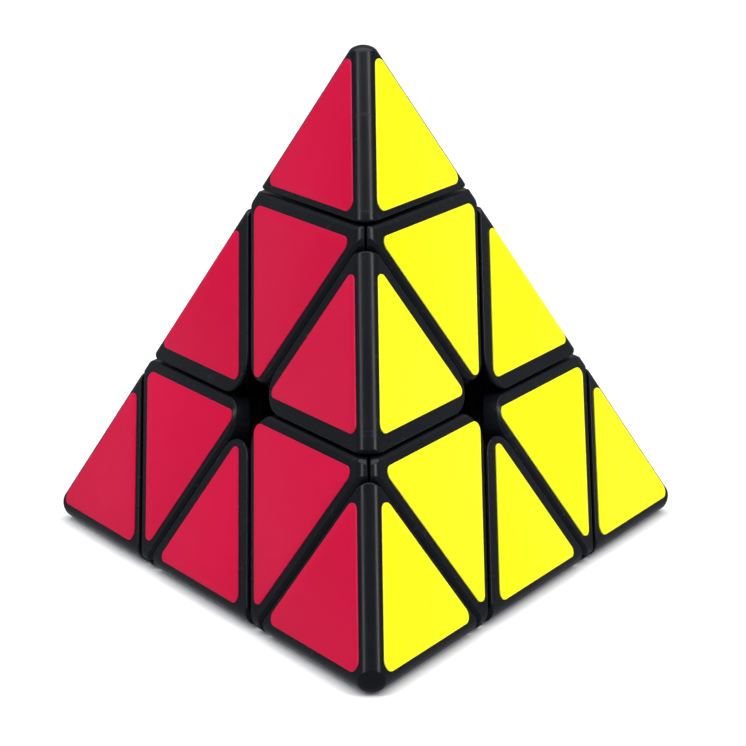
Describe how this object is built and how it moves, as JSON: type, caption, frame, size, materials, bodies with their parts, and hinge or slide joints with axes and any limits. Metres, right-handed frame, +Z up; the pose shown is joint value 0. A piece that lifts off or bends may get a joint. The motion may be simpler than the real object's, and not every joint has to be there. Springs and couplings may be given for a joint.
{
  "type": "pyramid twisty puzzle",
  "caption": "Tetrahedral twisty puzzle with turning corner tips and a turning top layer, black plastic pieces with coloured triangle stickers.",
  "frame": {"origin": "centre of the core, where the four turning axes meet", "axes": "+Z up through the top corner, square to the resting face; -Y towards the front corner; +X towards the right corner's side"},
  "size_m": [0.0978, 0.0854, 0.0808],
  "materials": {
    "black_plastic": "semi-gloss moulded ABS",
    "inner_plastic": "satin moulded plastic",
    "core_plastic": "matt moulded nylon",
    "steel": "zinc-plated steel",
    "red_vinyl": "glossy vinyl sticker",
    "yellow_vinyl": "glossy vinyl sticker",
    "green_vinyl": "glossy vinyl sticker",
    "blue_vinyl": "glossy vinyl sticker"
  },
  "bodies": {
    "core_frame": {"core": "core_plastic", "tension_screws": "steel", "screw_washers": "steel", "tension_springs": "steel", "axial_hub_front": "inner_plastic", "axial_hub_left": "inner_plastic", "axial_hub_right": "inner_plastic", "axial_petal_front_red": "black_plastic", "axial_petal_front_yellow": "black_plastic", "axial_petal_front_blue": "black_plastic", "axial_petal_left_red": "black_plastic", "axial_petal_left_green": "black_plastic", "axial_petal_left_blue": "black_plastic", "axial_petal_right_yellow": "black_plastic", "axial_petal_right_green": "black_plastic", "axial_petal_right_blue": "black_plastic", "edge_cap_front_left": "black_plastic", "edge_cap_front_right": "black_plastic", "edge_cap_left_right": "black_plastic", "edge_foot_front_left": "inner_plastic", "edge_foot_front_right": "inner_plastic", "edge_foot_left_right": "inner_plastic", "lower_stickers_red": "red_vinyl", "lower_stickers_yellow": "yellow_vinyl", "lower_stickers_green": "green_vinyl", "lower_stickers_blue": "blue_vinyl"},
    "top_layer": {"axial_hub_top": "inner_plastic", "axial_petal_top_red": "black_plastic", "axial_petal_top_yellow": "black_plastic", "axial_petal_top_green": "black_plastic", "edge_cap_top_front": "black_plastic", "edge_cap_top_left": "black_plastic", "edge_cap_top_right": "black_plastic", "edge_foot_top_front": "inner_plastic", "edge_foot_top_left": "inner_plastic", "edge_foot_top_right": "inner_plastic", "upper_stickers_red": "red_vinyl", "upper_stickers_yellow": "yellow_vinyl", "upper_stickers_green": "green_vinyl"},
    "tip_top": {"tip_cap_top": "black_plastic", "tip_base_top": "inner_plastic", "tip_sticker_top_red": "red_vinyl", "tip_sticker_top_yellow": "yellow_vinyl", "tip_sticker_top_green": "green_vinyl"},
    "tip_front": {"tip_cap_front": "black_plastic", "tip_base_front": "inner_plastic", "tip_sticker_front_red": "red_vinyl", "tip_sticker_front_yellow": "yellow_vinyl", "tip_sticker_front_blue": "blue_vinyl"},
    "tip_left": {"tip_cap_left": "black_plastic", "tip_base_left": "inner_plastic", "tip_sticker_left_red": "red_vinyl", "tip_sticker_left_green": "green_vinyl", "tip_sticker_left_blue": "blue_vinyl"},
    "tip_right": {"tip_cap_right": "black_plastic", "tip_base_right": "inner_plastic", "tip_sticker_right_yellow": "yellow_vinyl", "tip_sticker_right_green": "green_vinyl", "tip_sticker_right_blue": "blue_vinyl"}
  },
  "joints": [
    {"name": "top_layer_turn", "type": "hinge", "parent": "core_frame", "child": "top_layer", "pos_m": [0, 0, 0], "axis": [0, 0, 1], "continuous": true},
    {"name": "tip_top_turn", "type": "hinge", "parent": "top_layer", "child": "tip_top", "pos_m": [0, 0, 0], "axis": [0, 0, 1], "continuous": true},
    {"name": "tip_front_turn", "type": "hinge", "parent": "core_frame", "child": "tip_front", "pos_m": [0, 0, 0], "axis": [0, -0.9428, -0.3333], "continuous": true},
    {"name": "tip_left_turn", "type": "hinge", "parent": "core_frame", "child": "tip_left", "pos_m": [0, 0, 0], "axis": [-0.8165, 0.4714, -0.3333], "continuous": true},
    {"name": "tip_right_turn", "type": "hinge", "parent": "core_frame", "child": "tip_right", "pos_m": [0, 0, 0], "axis": [0.8165, 0.4714, -0.3333], "continuous": true}
  ]
}
